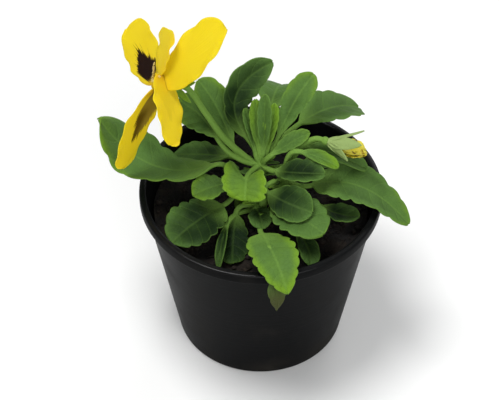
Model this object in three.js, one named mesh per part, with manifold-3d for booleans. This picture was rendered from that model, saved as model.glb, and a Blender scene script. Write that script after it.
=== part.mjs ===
// A pansy in a round 9 cm nursery pot.
// Millimetres, +Z up. The origin is the centre of the pot's underside, and +Y points away from the viewer.
// The plant is five leafy stems that stand in plain holes in the soil, one open flower and one bud.

import * as THREE from "three";
import { mergeVertices } from "three/addons/utils/BufferGeometryUtils.js";
import Module from "manifold-3d";

const wasm = await Module();
wasm.setup();

// Driving dimensions of the pot and its soil
const POT_RADIUS = 45;
const POT_HEIGHT = 69;
const BASE_RADIUS = 32;
const WALL = 1.6;
const COLLAR_HEIGHT = 4;
const COLLAR_STEP = 2;
const FOOT_HEIGHT = 2.5;
const FOOT_WIDTH = 3.5;
const PAD_RADIUS = 9;
const FLOOR = 1.6;
const POT_SIDES = 48;
const DRAIN_COUNT = 8;
const DRAIN_RADIUS = 1.8;
const DRAIN_CIRCLE = 23;
const SOIL_TOP = 59;
const SOIL_RISE = 0.8;
const SOIL_RINGS = [7, 14, 21, 28, 35];
const SOIL_SIDES = 24;
const GAP = 0.35;
const SCRAP = 0.5;

// Driving dimensions of the plant
const STEM_FOOT = 50;
const STEM_RADIUS = 2;
const HOLE_RADIUS = 2.6;
const TUBE_SIDES = 6;
const BLADE = 0.7;
const STALK = 1.7;
const STALK_HALF_WIDTH = 1;
const STALK_ROWS = 2;
const BLADE_END = 0.985;
const TOOTH_DEPTH = 0.13;
const MARGIN_WAVE = 0.06;

// A head's middle or base, and the way it faces: degrees round Z from +X, then degrees above level.
// Its stalk follows the route, then comes in along that way over the length of the neck.
const FLOWER = { throat: [-36.7, 2, 116.8], azimuth: 198, elevation: 20 };
const THROAT_RADIUS = 2.2;
const SPUR_LENGTH = 5;
const SPUR_RADIUS = 1.4;
const CALYX_DISTANCE = 7.2;
const CALYX_RADIUS = 1.6;
const FLOWER_NECK = 4;
const FLOWER_ROUTE = [[-2, 2, 78], [-13, 2, 91], [-20, 2, 104]];
const FLOWER_STALK_RADIUS = 1.2;
const FLOWER_SEPALS = { opening: 125, length: 8, half: 1.7, first: 0.6, unequal: 0 };
const BUD = { base: [23.2, 3, 89.6], azimuth: -12, elevation: -10, length: 13.5, radius: 3, clearance: 2.3 };
const BUD_NECK = 3;
const BUD_ROUTE = [[9, 0, 75], [13, 3, 84], [17.2, 3.8, 88.6]];
const BUD_STALK_RADIUS = 1.1;
const BUD_SEPALS = { opening: 30, length: 15.5, half: 2.5, first: 0.73, unequal: 0.22 };
const SEPAL_COUNT = 5;

const STEMS = {
  main_stem: { foot: [0, 2], crown: [0, 2, 80] },
  left_stem: { foot: [-8, -1], crown: [-9, -1, 76] },
  right_stem: { foot: [8, -2], crown: [9, -2, 76] },
  front_stem: { foot: [0, -8], crown: [1, -9, 73] },
  back_stem: { foot: [0, 10], crown: [1, 11, 76] },
};

// One row for each leaf: the height of its root on the stem, the start, middle and tip of its blade,
// and its half width. A root of its own stands on another leaf's blade.
// roll turns the blade about its midrib, fold lifts both halves straight up, and curl bows them.
// belly and end shape the outline, where a larger belly moves the widest place towards the tip.
// ears sweep the blade's base back past the end of its stalk.
const leaf = (height, start, middle, tip, half, shape) => ({ height, start, middle, tip, half, ...shape });

const LEAVES = {
  main_stem: [
    leaf(79, [-4.5, 6, 87], [-9.4, 14, 101], [4, 24, 109], 6.4, { roll: 35, fold: 0.3, belly: 0.85 }),
    leaf(79, [-10, 3, 86], [-16, 11, 98], [-23, 17, 106], 5.8, { roll: -20, fold: 0.3, belly: 1 }),
    leaf(78, [-16, 4, 90], [-22, 9, 96], [-30, 13, 100], 7, { roll: -30 }),
    leaf(79, [-2, 3, 83], [-4, 8, 91], [-6, 12, 97], 2.5, { fold: 0.4, belly: 0.9 }),
    leaf(79, [-0.5, 3, 83], [-1.8, 8, 93], [-2.1, 12.5, 101], 2.7, { fold: 0.4, belly: 0.9 }),
    leaf(79, [0.8, 3, 83], [1.2, 8, 94], [1.3, 13, 103], 2.8, { fold: 0.5, belly: 0.8 }),
    leaf(79, [2, 3.5, 83], [3.6, 8, 92], [4.8, 12, 99.5], 2.5, { roll: 20, fold: 0.5, belly: 0.9 }),
    leaf(79, [6, 6.5, 87], [11.8, 14, 98], [19, 22, 105], 5.2, { roll: 20, fold: 0.25, belly: 1 }),
    leaf(79, [4, 1, 84.5], [10.5, 3.5, 88], [17.5, 6, 91], 3.2, { roll: 30, fold: 0.45 }),
    leaf(79, [5, -3, 80], [13, -6.5, 82.5], [23, -8, 83.5], 5.2, { roll: 15, fold: 0.4 }),
    leaf(79, [-5.2, -9.3, 81.8], [-5.4, -12.8, 81.6], [-5.7, -16.6, 78.4], 8.5,
      { fold: 0.35, belly: 0.45, end: 0.3, skew: 0.3, ears: 2.6 }),
  ],
  left_stem: [
    leaf(75, [-17, -2, 82], [-40, 3, 77], [-59, 10, 93], 11.5,
      { belly: 0.8, end: 0.42, fold: 0.1, wave: 0.16 }),
    leaf(70, [-14, -10, 69], [-24, -18, 68], [-32, -25, 65], 10.6, { belly: 0.45, fold: 0.1 }),
    leaf(72, [-12, -5.5, 76], [-17.5, -8, 76.6], [-24.5, -11.3, 75.5], 6.4),
  ],
  right_stem: [
    leaf(75, [19, -4, 74], [37, -6, 75], [54, -14, 64], 9.8, { belly: 0.55, fold: 0.12 }),
    leaf(76, [2.5, -10, 76], [10, -15.5, 76], [18.5, -19.5, 75.5], 7, { roll: 25, fold: 0.1, curl: 0.25 }),
    leaf(73, [5, -12, 72], [14, -19.7, 73.2], [22.5, -27.3, 72.6], 10, { belly: 0.55, fold: 0.1 }),
    leaf(70, [22, -8, 67], [29, -10, 65], [36, -12, 66], 5, { teeth: 3 }),
    leaf(76, [16, 4, 86], [27, 4, 82], [39, 2, 76], 4, { roll: 20, fold: 0.5, teeth: 3 }),
    leaf(76, [14, -0.5, 87.5], [21, -2.5, 86.5], [28, -4.5, 83.5], 2.8, { roll: 20, fold: 0.4, teeth: 3 }),
  ],
  front_stem: [
    leaf(67, [0.5, -24, 68.5], [5.5, -41, 73.5], [9.5, -51, 67], 8.7,
      { belly: 0.44, end: 0.72, fold: 0.12, ears: 0.15 }),
    leaf(66, [-9, -12, 67], [-10, -21, 62], [-10, -31, 61], 6, { belly: 0.6, fold: 0, curl: -0.15 }),
    leaf(66, [4.5, -42, 71], [5.8, -48.5, 66], [5.8, -49, 56], 3.4,
      { root: [3, -33.2, 72.2], belly: 1.4, end: 0.9, teeth: 3 }),
    leaf(66, [13, -18, 64], [17, -26, 64], [18, -33, 62], 4, { teeth: 3 }),
    leaf(68, [-2, -11, 69], [-0.5, -15, 69.5], [1, -20, 67.5], 4.5, { teeth: 3 }),
    leaf(66, [-12, -17, 67], [-13.8, -25.5, 66], [-15, -34, 61.5], 1.9, { fold: 0.4, teeth: 3 }),
  ],
  back_stem: [
    leaf(75, [-10, 20, 83], [-20, 30, 84], [-28, 38, 78], 9, { fold: 0.15 }),
    leaf(75, [3, 24, 84], [6, 38, 84], [9, 50, 74], 9, { fold: 0.15 }),
    leaf(75, [14, 18, 84], [26, 27, 84], [37, 35, 77], 9.5, { fold: 0.15 }),
    leaf(68, [16, 12, 70], [26, 15, 69], [36, 18, 66], 6.5, { fold: 0.15 }),
    leaf(68, [-12, 15, 70], [-22, 18, 68], [-33, 20, 66], 6.5, { fold: 0.15 }),
  ],
};

// One row for each petal: its angle from the flower's top towards the viewer's side, its lean forward,
// its length and half width, the turn about its own midline, how far forward it sits and bows,
// and how far towards the flower's top it is set. skew makes one side of it fuller near the tip.
const PETALS = [
  { angle: -28, lean: -5, length: 19, half: 9, roll: -5, belly: 1.05, end: 0.22, skew: 0.23 },
  { angle: 12, lean: -24, length: 34, half: 9, roll: 12, bow: -3, belly: 0.75, end: 0.6, skew: 0.27 },
  { angle: -85, lean: 6, length: 29, half: 8.6, roll: 14, forward: 0.5, bow: -0.2, belly: 0.55, end: 0.35 },
  { angle: 112, lean: 0, length: 27.5, half: 8.5, roll: 57, forward: 0.5, bow: -1.3, rise: 5.5, belly: 0.35,
    end: 0.44, skew: 0.13, stalkHalf: 3.5 },
  { angle: 173, lean: 6, length: 35, half: 8.5, roll: 56, bow: 1.5, belly: 0.45, end: 0.46 },
];
const PETAL_CLAW = 1.8;

const vector = (point) => new THREE.Vector3(...point);
const radians = THREE.MathUtils.degToRad;
const UP = new THREE.Vector3(0, 0, 1);

// Booleans

function solidOf(geometry) {
  const bare = geometry.clone();
  bare.deleteAttribute("normal");
  bare.deleteAttribute("uv");
  const merged = mergeVertices(bare, 1e-4);
  return new wasm.Manifold(new wasm.Mesh({
    numProp: 3,
    vertProperties: new Float32Array(merged.attributes.position.array),
    triVerts: new Uint32Array(merged.index.array),
  }));
}

// A tiny scrap that a cut leaves loose is dropped, but a leaf that has come off its stem is a mistake.
function geometryOf(solid) {
  const bodies = solid.decompose().sort((a, b) => b.volume() - a.volume());
  if (bodies.length > 1 && bodies[1].volume() > SCRAP) throw new Error("a piece has come apart");
  const mesh = bodies[0].getMesh();
  const geometry = new THREE.BufferGeometry();
  geometry.setAttribute("position", new THREE.BufferAttribute(new Float32Array(mesh.vertProperties), 3));
  geometry.setIndex(Array.from(mesh.triVerts));
  return geometry;
}

function fuse(geometries) {
  return geometries.map(solidOf).reduce((whole, part) => whole.add(part));
}

// Blades: leaves, petals and sepals are one kind of thin, closed grid

function bend(a, b, c, t) {
  return a.clone().multiplyScalar((1 - t) ** 2)
    .addScaledVector(b, 2 * t * (1 - t))
    .addScaledVector(c, t * t);
}

function bendDirection(a, b, c, t) {
  return b.clone().sub(a).multiplyScalar(1 - t).addScaledVector(c.clone().sub(b), t).normalize();
}

// 1 at the widest place, 0 at both ends
function outline(s, belly, end) {
  const widest = belly / (belly + end);
  return (s / widest) ** belly * ((1 - s) / (1 - widest)) ** end;
}

// The midrib runs from the root along a stalk to the start of the blade, then through its middle to the tip.
function midrib({ root, start, middle, tip }, bladeRows, stalkRows) {
  const pull = middle.clone().multiplyScalar(2).addScaledVector(start, -0.5).addScaledVector(tip, -0.5);
  const heading = pull.clone().sub(start).normalize();
  const stalkPull = start.clone().addScaledVector(heading, -0.5 * start.distanceTo(root));
  const rows = [];
  for (let k = 0; k < stalkRows; k += 1) {
    const t = k / stalkRows;
    const along = bendDirection(root, stalkPull, start, t);
    rows.push({ s: t - 1, at: bend(root, stalkPull, start, t), along });
  }
  for (let k = 0; k <= bladeRows; k += 1) {
    const s = (k / bladeRows) * BLADE_END;
    rows.push({ s, at: bend(start, pull, tip, s), along: bendDirection(start, pull, tip, s) });
  }
  return rows;
}

function bladeGeometry(blade) {
  const {
    half, side, roll = 0, fold = 0.2, curl = 0, belly = 0.8, end = 0.5, teeth = 5, rowsPerTooth = 2,
    stalkRows = STALK_ROWS, stalkHalf = STALK_HALF_WIDTH, stalkDepth = STALK, columns = half > 4.5 ? 5 : 3,
    wave = MARGIN_WAVE, toothDepth = TOOTH_DEPTH, skew = 0, ears = 0,
  } = blade;
  const rows = midrib(blade, teeth * rowsPerTooth, stalkRows);
  const middle = [];
  const depths = [];
  for (const { s, at, along } of rows) {
    const t = Math.max(s, 0);
    const across = side.clone().addScaledVector(along, -side.dot(along)).normalize();
    across.applyAxisAngle(along, radians(roll) * Math.min(1, 1 + s));
    const up = across.clone().cross(along);
    const notch = t > 0 ? toothDepth * (1 - Math.abs(Math.sin((Math.PI * teeth * t) / BLADE_END))) : 0;
    depths.push(stalkDepth + (BLADE - stalkDepth) * Math.min(1, t * 7));
    const row = [];
    for (let j = 0; j < columns; j += 1) {
      const q = (2 * j) / (columns - 1) - 1;
      const out = Math.abs(q);
      const lopsided = skew * Math.sign(q);
      const full = half * outline(t, belly * (1 - lopsided), end * (1 + lopsided));
      const wide = t > 0 ? Math.max(full, stalkHalf * Math.sqrt(1 - t)) : stalkHalf;
      const swept = ears * wide * out ** 1.5 * (1 - t) ** 4 * Math.min(1, t * 20);
      const lift = wide * (fold * out + curl * out * out) * Math.min(1, t * 4)
        + half * wave * Math.sin(9 * t + 2 * q) * out * out * Math.min(1, t * 3);
      const point = at.clone().addScaledVector(across, wide * q * (1 - notch * out ** 3));
      row.push(point.addScaledVector(up, lift).addScaledVector(along, -swept));
    }
    middle.push(row);
  }
  return thicken(middle, depths);
}

// Gives a grid of points its thickness. Both faces are split into triangles alike.
function thicken(grid, depths) {
  const rows = grid.length;
  const columns = grid[0].length;
  const positions = [];
  for (const sign of [1, -1]) {
    for (let i = 0; i < rows; i += 1) {
      for (let j = 0; j < columns; j += 1) {
        const across = grid[i][Math.min(j + 1, columns - 1)].clone().sub(grid[i][Math.max(j - 1, 0)]);
        const along = grid[Math.min(i + 1, rows - 1)][j].clone().sub(grid[Math.max(i - 1, 0)][j]);
        const normal = across.cross(along).normalize();
        positions.push(...grid[i][j].clone().addScaledVector(normal, (sign * depths[i]) / 2).toArray());
      }
    }
  }
  const below = rows * columns;
  const corner = (i, j) => i * columns + j;
  const faces = [];
  for (let i = 0; i < rows - 1; i += 1) {
    for (let j = 0; j < columns - 1; j += 1) {
      const [a, b, c, d] = [corner(i, j), corner(i, j + 1), corner(i + 1, j + 1), corner(i + 1, j)];
      const halves = j < (columns - 1) / 2 ? [[a, b, c], [a, c, d]] : [[a, b, d], [b, c, d]];
      for (const [p, q, r] of halves) {
        faces.push(p, q, r, p + below, r + below, q + below);
      }
    }
  }
  const rim = [];
  for (let j = 0; j < columns; j += 1) rim.push(corner(0, j));
  for (let i = 1; i < rows; i += 1) rim.push(corner(i, columns - 1));
  for (let j = columns - 2; j >= 0; j -= 1) rim.push(corner(rows - 1, j));
  for (let i = rows - 2; i > 0; i -= 1) rim.push(corner(i, 0));
  rim.forEach((p, k) => {
    const q = rim[(k + 1) % rim.length];
    faces.push(p, p + below, q + below, p, q + below, q);
  });
  const geometry = new THREE.BufferGeometry();
  geometry.setAttribute("position", new THREE.Float32BufferAttribute(positions, 3));
  geometry.setIndex(faces);
  return geometry;
}

function tubeGeometry(points, radius, steps) {
  const ring = new THREE.Shape();
  for (let k = 0; k < TUBE_SIDES; k += 1) {
    const angle = (2 * Math.PI * k) / TUBE_SIDES;
    const place = [radius * Math.cos(angle), radius * Math.sin(angle)];
    if (k === 0) ring.moveTo(...place);
    else ring.lineTo(...place);
  }
  const path = new THREE.CatmullRomCurve3(points.map(vector));
  return new THREE.ExtrudeGeometry(ring, { extrudePath: path, steps, bevelEnabled: false });
}

// Pieces of the plant

function leafGeometry(row, { foot, crown }) {
  const share = (row.height - SOIL_TOP) / (crown[2] - SOIL_TOP);
  const root = row.root ? vector(row.root) : new THREE.Vector3(...foot, SOIL_TOP).lerp(vector(crown), share);
  const [start, middle, tip] = [row.start, row.middle, row.tip].map(vector);
  const outward = tip.clone().sub(root).setZ(0).normalize();
  return bladeGeometry({ ...row, root, start, middle, tip, side: outward.cross(UP) });
}

function stemGeometry({ foot, crown }) {
  const [x, y] = foot;
  const points = [[x, y, STEM_FOOT + GAP], [x, y, (STEM_FOOT + SOIL_TOP) / 2], [x, y, SOIL_TOP + 2], crown];
  return tubeGeometry(points, STEM_RADIUS, 6);
}

function headFrame({ azimuth, elevation }) {
  const [turn, rise] = [radians(azimuth), radians(elevation)];
  const level = new THREE.Vector3(Math.cos(turn), Math.sin(turn), 0);
  const facing = level.clone().multiplyScalar(Math.cos(rise)).addScaledVector(UP, Math.sin(rise));
  const top = level.clone().multiplyScalar(-Math.sin(rise)).addScaledVector(UP, Math.cos(rise));
  return { facing, top, near: top.clone().cross(facing) };
}

// A direction square to the way the head faces, by its angle in radians from the head's top
function spoke({ top, near }, angle) {
  return top.clone().multiplyScalar(Math.cos(angle)).addScaledVector(near, Math.sin(angle));
}

function petalGeometry({ angle, lean, length, forward = 0, bow = 0, rise = 0, ...shape }) {
  const head = headFrame(FLOWER);
  const { facing, top } = head;
  const outward = spoke(head, radians(angle));
  const start = vector(FLOWER.throat).add(outward)
    .addScaledVector(facing, forward)
    .addScaledVector(top, rise);
  const reach = (share, leaning) => start.clone()
    .addScaledVector(outward, length * share * Math.cos(radians(leaning)))
    .addScaledVector(facing, length * share * Math.sin(radians(leaning)));
  return bladeGeometry({
    root: start, start, middle: reach(0.5, lean / 2).addScaledVector(facing, bow), tip: reach(1, lean),
    side: outward.clone().cross(facing), fold: 0, teeth: 4, toothDepth: 0.02, stalkRows: 0,
    stalkHalf: PETAL_CLAW, wave: 0.05, ...shape,
  });
}

// Sepals stand round a point, and open by a number of degrees from the way the head faces.
// Where they are unequal, the topmost is the longest.
function sepalGeometries(head, centre, { opening, length, half, first, unequal }) {
  return Array.from({ length: SEPAL_COUNT }, (_, k) => {
    const angle = first + (2 * Math.PI * k) / SEPAL_COUNT;
    const outward = spoke(head, angle);
    const reached = length * (1 - unequal * (1 - Math.cos(angle)));
    const direction = head.facing.clone().multiplyScalar(Math.cos(radians(opening)))
      .addScaledVector(outward, Math.sin(radians(opening)));
    const reach = (distance) => centre.clone().addScaledVector(direction, distance);
    return bladeGeometry({
      root: centre.clone(), start: reach(1), middle: reach(reached / 2), tip: reach(reached), half,
      side: outward.clone().cross(head.facing), fold: 0.2, belly: 0.6, end: 0.8, teeth: 2, toothDepth: 0,
      stalkRows: 0, wave: 0,
    });
  });
}

// A stalk that ends in a calyx: the cup and its sepals
function headStalk(head, neck, calyx, route, radius, steps, sepals) {
  const bendAt = calyx.clone().addScaledVector(head.facing, -neck);
  const stalk = tubeGeometry([...route, bendAt.toArray(), calyx.toArray()], radius, steps);
  const cup = new THREE.SphereGeometry(CALYX_RADIUS, 8, 6).translate(...calyx.toArray());
  return [stalk, cup, ...sepalGeometries(head, calyx, sepals)];
}

function flowerStalk() {
  const head = headFrame(FLOWER);
  const calyx = vector(FLOWER.throat).addScaledVector(head.facing, -CALYX_DISTANCE);
  return headStalk(head, FLOWER_NECK, calyx, FLOWER_ROUTE, FLOWER_STALK_RADIUS, 14, FLOWER_SEPALS);
}

function budStalk() {
  return headStalk(headFrame(BUD), BUD_NECK, vector(BUD.base), BUD_ROUTE, BUD_STALK_RADIUS, 12, BUD_SEPALS);
}

function bloomSolid() {
  const { facing } = headFrame(FLOWER);
  const throat = new THREE.SphereGeometry(THROAT_RADIUS, 8, 6).translate(...FLOWER.throat);
  const spurEnd = vector(FLOWER.throat).addScaledVector(facing, -SPUR_LENGTH);
  const spur = tubeGeometry([FLOWER.throat, spurEnd.toArray()], SPUR_RADIUS, 2);
  return fuse([throat, spur, ...PETALS.map(petalGeometry)]);
}

function budGeometry() {
  const { facing } = headFrame(BUD);
  const { length, radius, clearance } = BUD;
  const profile = [[0, 0], [0.55, 0.12], [1, 0.45], [0.75, 0.8], [0, 1]];
  const half = profile.map(([r, y]) => new THREE.Vector2(r * radius, y * length));
  const turn = new THREE.Quaternion().setFromUnitVectors(new THREE.Vector3(0, 1, 0), facing);
  const base = vector(BUD.base).addScaledVector(facing, clearance);
  return new THREE.LatheGeometry(half, 8).applyQuaternion(turn).translate(...base.toArray());
}

// Pot and soil

// Inner radius of the wall at a height, with the wall's own taper
function innerRadius(z) {
  const share = (z - FOOT_HEIGHT) / (POT_HEIGHT - COLLAR_HEIGHT - FOOT_HEIGHT);
  return BASE_RADIUS - WALL + (POT_RADIUS - COLLAR_STEP - BASE_RADIUS) * share;
}

function potSolid() {
  const shoulder = POT_HEIGHT - COLLAR_HEIGHT;
  const floorTop = FOOT_HEIGHT + FLOOR;
  const collar = POT_RADIUS - COLLAR_STEP;
  const footInner = BASE_RADIUS - FOOT_WIDTH;
  const profile = [
    [0, 0], [PAD_RADIUS, 0], [PAD_RADIUS + 1, FOOT_HEIGHT], [footInner, FOOT_HEIGHT], [footInner + 0.5, 0],
    [BASE_RADIUS - 0.5, 0], [BASE_RADIUS, 0.8], [collar, shoulder], [POT_RADIUS - 0.6, shoulder],
    [POT_RADIUS, shoulder + 0.6], [POT_RADIUS, POT_HEIGHT - 0.8], [POT_RADIUS - 0.8, POT_HEIGHT],
    [collar, POT_HEIGHT], [collar - 0.6, POT_HEIGHT - 0.6], [innerRadius(shoulder), shoulder - 2],
    [innerRadius(floorTop), floorTop], [0, floorTop],
  ];
  const shell = new THREE.LatheGeometry(profile.map(([r, z]) => new THREE.Vector2(r, z)), POT_SIDES);
  let pot = solidOf(shell.rotateX(Math.PI / 2));
  for (let k = 0; k < DRAIN_COUNT; k += 1) {
    const angle = (2 * Math.PI * (k + 0.5)) / DRAIN_COUNT;
    const drill = new THREE.CylinderGeometry(DRAIN_RADIUS, DRAIN_RADIUS, 3 * floorTop, 10);
    drill.rotateX(Math.PI / 2);
    drill.translate(DRAIN_CIRCLE * Math.cos(angle), DRAIN_CIRCLE * Math.sin(angle), floorTop);
    pot = pot.subtract(solidOf(drill));
  }
  return pot;
}

function soilSolid() {
  const bottom = FOOT_HEIGHT + FLOOR + GAP;
  const profile = [
    [0, bottom], [innerRadius(bottom) - GAP, bottom], [innerRadius(SOIL_TOP) - GAP, SOIL_TOP],
    ...[...SOIL_RINGS].reverse().map((r) => [r, SOIL_TOP]), [0, SOIL_TOP],
  ];
  const body = new THREE.LatheGeometry(profile.map(([r, z]) => new THREE.Vector2(r, z)), SOIL_SIDES);
  body.rotateX(Math.PI / 2);
  const places = body.attributes.position;
  for (let k = 0; k < places.count; k += 1) {
    const [x, y, z] = [places.getX(k), places.getY(k), places.getZ(k)];
    if (z > SOIL_TOP - 1 && Math.hypot(x, y) < SOIL_RINGS.at(-1) + 1) {
      places.setZ(k, z + SOIL_RISE * Math.sin(0.31 * x + 1) * Math.cos(0.27 * y));
    }
  }
  let soil = solidOf(body);
  for (const { foot: [x, y] } of Object.values(STEMS)) {
    const hole = new THREE.CylinderGeometry(HOLE_RADIUS, HOLE_RADIUS, SOIL_TOP, 10).rotateX(Math.PI / 2);
    soil = soil.subtract(solidOf(hole.translate(x, y, STEM_FOOT + SOIL_TOP / 2)));
  }
  return soil;
}

// The assembly

const COLOURS = {
  pot: { color: 0x2b2c2e, roughness: 0.5, metalness: 0 },
  soil: { color: 0x1d1612, roughness: 0.95, metalness: 0 },
  leaf: { color: 0x4f8a3a, roughness: 0.5, metalness: 0 },
  petal: { color: 0xf3d617, roughness: 0.6, metalness: 0 },
};

const group = new THREE.Group();

function place(name, geometry, finish) {
  const mesh = new THREE.Mesh(geometry, new THREE.MeshStandardMaterial(COLOURS[finish]));
  mesh.name = name;
  group.add(mesh);
}

place("pot", geometryOf(potSolid()), "pot");
place("soil", geometryOf(soilSolid()), "soil");
for (const [name, stem] of Object.entries(STEMS)) {
  const pieces = [stemGeometry(stem), ...LEAVES[name].map((row) => leafGeometry(row, stem))];
  if (name === "main_stem") pieces.push(...flowerStalk());
  if (name === "right_stem") pieces.push(...budStalk());
  place(name, geometryOf(fuse(pieces)), "leaf");
}
place("bloom", geometryOf(bloomSolid()), "petal");
place("bud", budGeometry(), "petal");

export default group;
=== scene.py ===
import math
import random

import bmesh
import bpy
import numpy as np
from bpy.props import FloatProperty, FloatVectorProperty, IntProperty, PointerProperty
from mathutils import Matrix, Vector, noise


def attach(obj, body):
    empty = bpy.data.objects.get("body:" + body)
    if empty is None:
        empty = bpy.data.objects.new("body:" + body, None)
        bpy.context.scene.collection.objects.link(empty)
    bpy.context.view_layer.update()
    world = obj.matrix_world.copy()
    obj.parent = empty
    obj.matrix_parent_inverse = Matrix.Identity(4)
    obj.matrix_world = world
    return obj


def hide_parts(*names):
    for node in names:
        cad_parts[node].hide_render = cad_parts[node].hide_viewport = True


# A pansy in a round nursery pot: finer pieces for each of the packed solids, laid out as an add-on.
# Places and sizes are millimetres in the part's own frame, and metres in the studio, settings and shaders.

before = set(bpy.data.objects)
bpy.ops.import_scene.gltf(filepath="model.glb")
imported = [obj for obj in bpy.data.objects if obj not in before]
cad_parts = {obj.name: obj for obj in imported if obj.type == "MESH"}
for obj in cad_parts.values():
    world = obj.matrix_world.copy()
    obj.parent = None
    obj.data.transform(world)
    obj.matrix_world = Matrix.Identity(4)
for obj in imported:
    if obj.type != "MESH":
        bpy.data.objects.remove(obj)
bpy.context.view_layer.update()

bl_info = {
    "name": "Potted pansy",
    "version": (1, 0, 0),
    "blender": (4, 5, 0),
    "location": "3D View > Sidebar > Pansy",
    "description": "Builds the pot, peat, leafy stems, flower and bud of a potted pansy round their solids",
    "category": "Object",
}

MM = 0.001
BODY = "root"

# Pot and peat, in millimetres
POT_RADIUS = 45
POT_HEIGHT = 69
BASE_RADIUS = 32
WALL = 1.6
COLLAR_HEIGHT = 4
COLLAR_STEP = 2
FOOT_HEIGHT = 2.5
FOOT_WIDTH = 3.5
PAD_RADIUS = 9
FLOOR = 1.6
POT_SIDES = 192
DRAIN_COUNT = 8
DRAIN_RADIUS = 1.8
DRAIN_CIRCLE = 23
DRILL_SIDES = 32
SOIL_TOP = 59
GAP = 0.35

# The heights between which the wall turns into the rim's satin edge
SATIN_EDGE = (68.2, 68.7)

# The peat's seed, the rings and sides of its grid, and the plane in metres on which its noise is read
PEAT_SEED = 11
PEAT_RINGS = 90
PEAT_SIDES = 260
PEAT_PLANE = 0.1

# Each kind of unevenness of the peat: its width in metres, and its height
HUMMOCK = (0.012, 1.1)
LUMP = (0.0032, 0.9)
CRUMB = (0.0013, 0.4)
GRIT = (0.0007, 0.25)

# Loose bits: how far from the wall they stay, a crumb's least radius and how much larger it may be,
# and a fibre's lengths and end radii
CRUMB_CLEARANCE = 1.5
CRUMB_RADIUS = 0.35
CRUMB_SPREAD = 1.1
FIBRE_CLEARANCE = 4
FIBRE_LENGTHS = (2, 7)
FIBRE_RADII = (0.22, 0.1)

# Blades: a half width in millimetres, then shares of a blade's length and width, and steps of its grid
STALK_HALF_WIDTH = 1
LAST_TOOTH = 0.985
TIP = 0.9992
TOOTH_DEPTH = 0.13
MARGIN_WAVE = 0.06
LEAF_ROWS = 56
LEAF_COLUMNS = 25
STALK_ROWS = 14

# Balls at the throat and on the ends of the stalks
BALL_SIDES = 20
BALL_RINGS = 12

# Leaves wider than this half width have a deeper ruffle than the others
BROAD_HALF_WIDTH = 5
BROAD_RUFFLE = 0.25
NARROW_RUFFLE = 0.1

# Stems, each from its foot in the peat to its crown, and their radii at foot and crown
STEM_FOOT = 50.35
STEM_RADII = (2.1, 1.7)
STEMS = {
    "main_stem": {"foot": (0, 2), "crown": (0, 2, 80)},
    "left_stem": {"foot": (-8, -1), "crown": (-9, -1, 76)},
    "right_stem": {"foot": (8, -2), "crown": (9, -2, 76)},
    "front_stem": {"foot": (0, -8), "crown": (1, -9, 73)},
    "back_stem": {"foot": (0, 10), "crown": (1, 11, 76)},
}

# Stipules: how many a stem has, the turn from one to the next, their lengths, half widths and shape
STIPULES = 7
GOLDEN_TURN = 2.4
STIPULE_LENGTHS = (7, 11)
STIPULE_HALF_WIDTHS = (1, 1.7)
STIPULE_SHAPE = {
    "fold": 0.3, "belly": 0.5, "teeth": 3, "tooth_depth": 0.3, "stalk_half": 0.7, "stalk_rows": 4,
    "stalk_depth": 0.9, "depth": 0.4, "rows": 26, "columns": 9, "quilt": 0, "groove": 0.1, "rib": 0.15,
}

# Sepals, whose opening is in degrees from the way the head faces, and first in radians from its top
SEPALS = 5
FLOWER_SEPALS = {"opening": 125, "length": 8, "half": 1.7, "first": 0.6, "tint": 0.55}
BUD_SEPALS = {"opening": 30, "length": 15.5, "half": 2.5, "first": 0.73, "tint": 1.4, "unequal": 0.22}
SEPAL_SHAPE = {
    "belly": 0.6, "end": 0.8, "teeth": 2, "tooth_depth": 0, "stalk_rows": 0, "wave": 0, "rows": 24,
    "columns": 11, "depth": 0.45, "quilt": 0, "groove": 0.15, "rib": 0.2,
}


def leaf(height, start, middle, tip, half, **shape):
    """A leaf's row: the height of its root on the stem, then its blade's midline and half width."""
    return {"height": height, "start": start, "middle": middle, "tip": tip, "half": half, **shape}


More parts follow.
